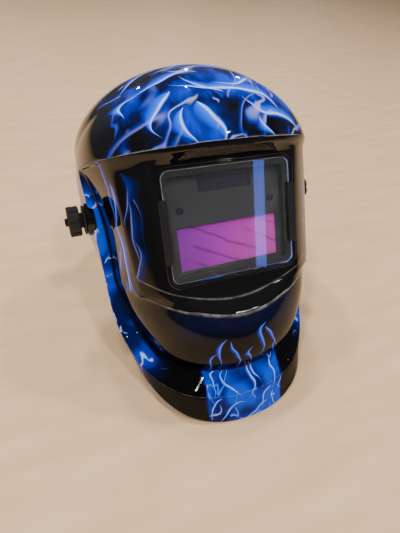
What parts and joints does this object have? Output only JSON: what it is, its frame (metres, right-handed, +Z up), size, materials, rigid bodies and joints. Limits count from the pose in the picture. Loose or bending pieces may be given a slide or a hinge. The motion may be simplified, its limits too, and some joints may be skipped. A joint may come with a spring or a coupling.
{
  "type": "auto-darkening welding helmet",
  "caption": "Welding helmet with a rounded visor shell, rectangular filter window, side pivot knobs and an adjustable ratchet headband.",
  "frame": {"origin": "middle of the object's box at floor level, with the helmet standing on its chin edge and rear ratchet knob", "axes": "+Z up, +X to the right seen from the front, so the wearer's left; the window looks towards -Y and leans back"},
  "size_m": [0.253, 0.3254, 0.2566],
  "materials": {
    "shell": "gloss paint over black, blue flame pattern",
    "clear_plate": "clear polycarbonate",
    "trim": "satin black",
    "knob": "matt black",
    "case": "satin black",
    "filter": "violet interference filter",
    "solar": "dark glossy film",
    "sensor": "dark epoxy",
    "board": "green laminate",
    "steel": "plated",
    "band": "satin black",
    "pad": "knitted cloth over foam"
  },
  "bodies": {
    "headgear": {"headband": "band", "sweatband": "pad", "crown_strap_left": "band", "crown_strap_right": "band", "crown_button": "trim", "ratchet_case_inner": "trim", "ratchet_case_outer": "trim", "adjusting_slab_left": "band", "adjusting_slab_right": "band"},
    "carriage": {"pivot_bolt_left": "trim", "pivot_bolt_right": "trim", "pivot_washer_left": "trim", "pivot_washer_right": "trim", "friction_spacer_left": "trim", "friction_spacer_right": "trim", "angle_plate_left": "trim", "angle_plate_right": "trim"},
    "helmet": {"shell": "shell", "cover_lens_outer": "clear_plate", "cover_lens_inner": "clear_plate", "lens_clip_left": "trim", "lens_clip_right": "trim", "lens_carrier": "trim", "cartridge_retainer": "trim", "filter_case_front": "case", "filter_case_rear": "case", "filter_glass": "filter", "solar_cell": "solar", "arc_sensor_left": "sensor", "arc_sensor_right": "sensor", "circuit_board": "board", "coin_cell_left": "steel", "coin_cell_right": "steel", "stop_peg_left": "steel", "stop_peg_right": "steel", "retainer_screw_1": "steel", "retainer_screw_2": "steel", "retainer_screw_3": "steel", "retainer_screw_4": "steel"},
    "knob_left": {"pivot_knob_left": "knob"},
    "knob_right": {"pivot_knob_right": "knob"},
    "ratchet_wheel": {"ratchet_knob": "knob", "ratchet_pinion": "steel"},
    "rack_left": {"rack_strap_left": "band"},
    "rack_right": {"rack_strap_right": "band"},
    "shade": {"shade_dial": "trim"},
    "sensitivity": {"sensitivity_dial": "trim"},
    "delay": {"delay_dial": "trim"}
  },
  "joints": [
    {"name": "fore_aft", "type": "slide", "parent": "headgear", "child": "carriage", "axis": [0, 0.8812, -0.4728], "range_m": [-0.01, 0.01]},
    {"name": "flip", "type": "hinge", "parent": "carriage", "child": "helmet", "pos_m": [0, 0.00462, 0.13361], "axis": [-1, 0, 0], "range_deg": [0, 55]},
    {"name": "knob_left_turn", "type": "hinge", "parent": "carriage", "child": "knob_left", "pos_m": [-0.118, 0.00462, 0.13361], "axis": [-1, 0, 0], "range_deg": [-45, 315]},
    {"name": "knob_right_turn", "type": "hinge", "parent": "carriage", "child": "knob_right", "pos_m": [0.118, 0.00462, 0.13361], "axis": [1, 0, 0], "range_deg": [-45, 315]},
    {"name": "ratchet_turn", "type": "hinge", "parent": "headgear", "child": "ratchet_wheel", "pos_m": [0, 0.14828, 0.01384], "axis": [0, 0.6919, -0.722], "range_deg": [-60, 60]},
    {"name": "rack_left_slide", "type": "slide", "parent": "headgear", "child": "rack_left", "axis": [-1, 0, 0], "range_m": [-0.0067, 0.0067]},
    {"name": "rack_right_slide", "type": "slide", "parent": "headgear", "child": "rack_right", "axis": [1, 0, 0], "range_m": [-0.0067, 0.0067]},
    {"name": "shade_turn", "type": "hinge", "parent": "helmet", "child": "shade", "pos_m": [-0.034, -0.04794, 0.18054], "axis": [0, 0.8812, -0.4728], "range_deg": [0, 270]},
    {"name": "sensitivity_turn", "type": "hinge", "parent": "helmet", "child": "sensitivity", "pos_m": [0, -0.04794, 0.18054], "axis": [0, 0.8812, -0.4728], "range_deg": [0, 270]},
    {"name": "delay_turn", "type": "hinge", "parent": "helmet", "child": "delay", "pos_m": [0.034, -0.04794, 0.18054], "axis": [0, 0.8812, -0.4728], "range_deg": [0, 270]}
  ],
  "couplings": [
    {"joint": "rack_left_slide", "follows": "ratchet_turn", "m_per_rad": 0.0063662},
    {"joint": "rack_right_slide", "follows": "ratchet_turn", "m_per_rad": 0.0063662}
  ]
}
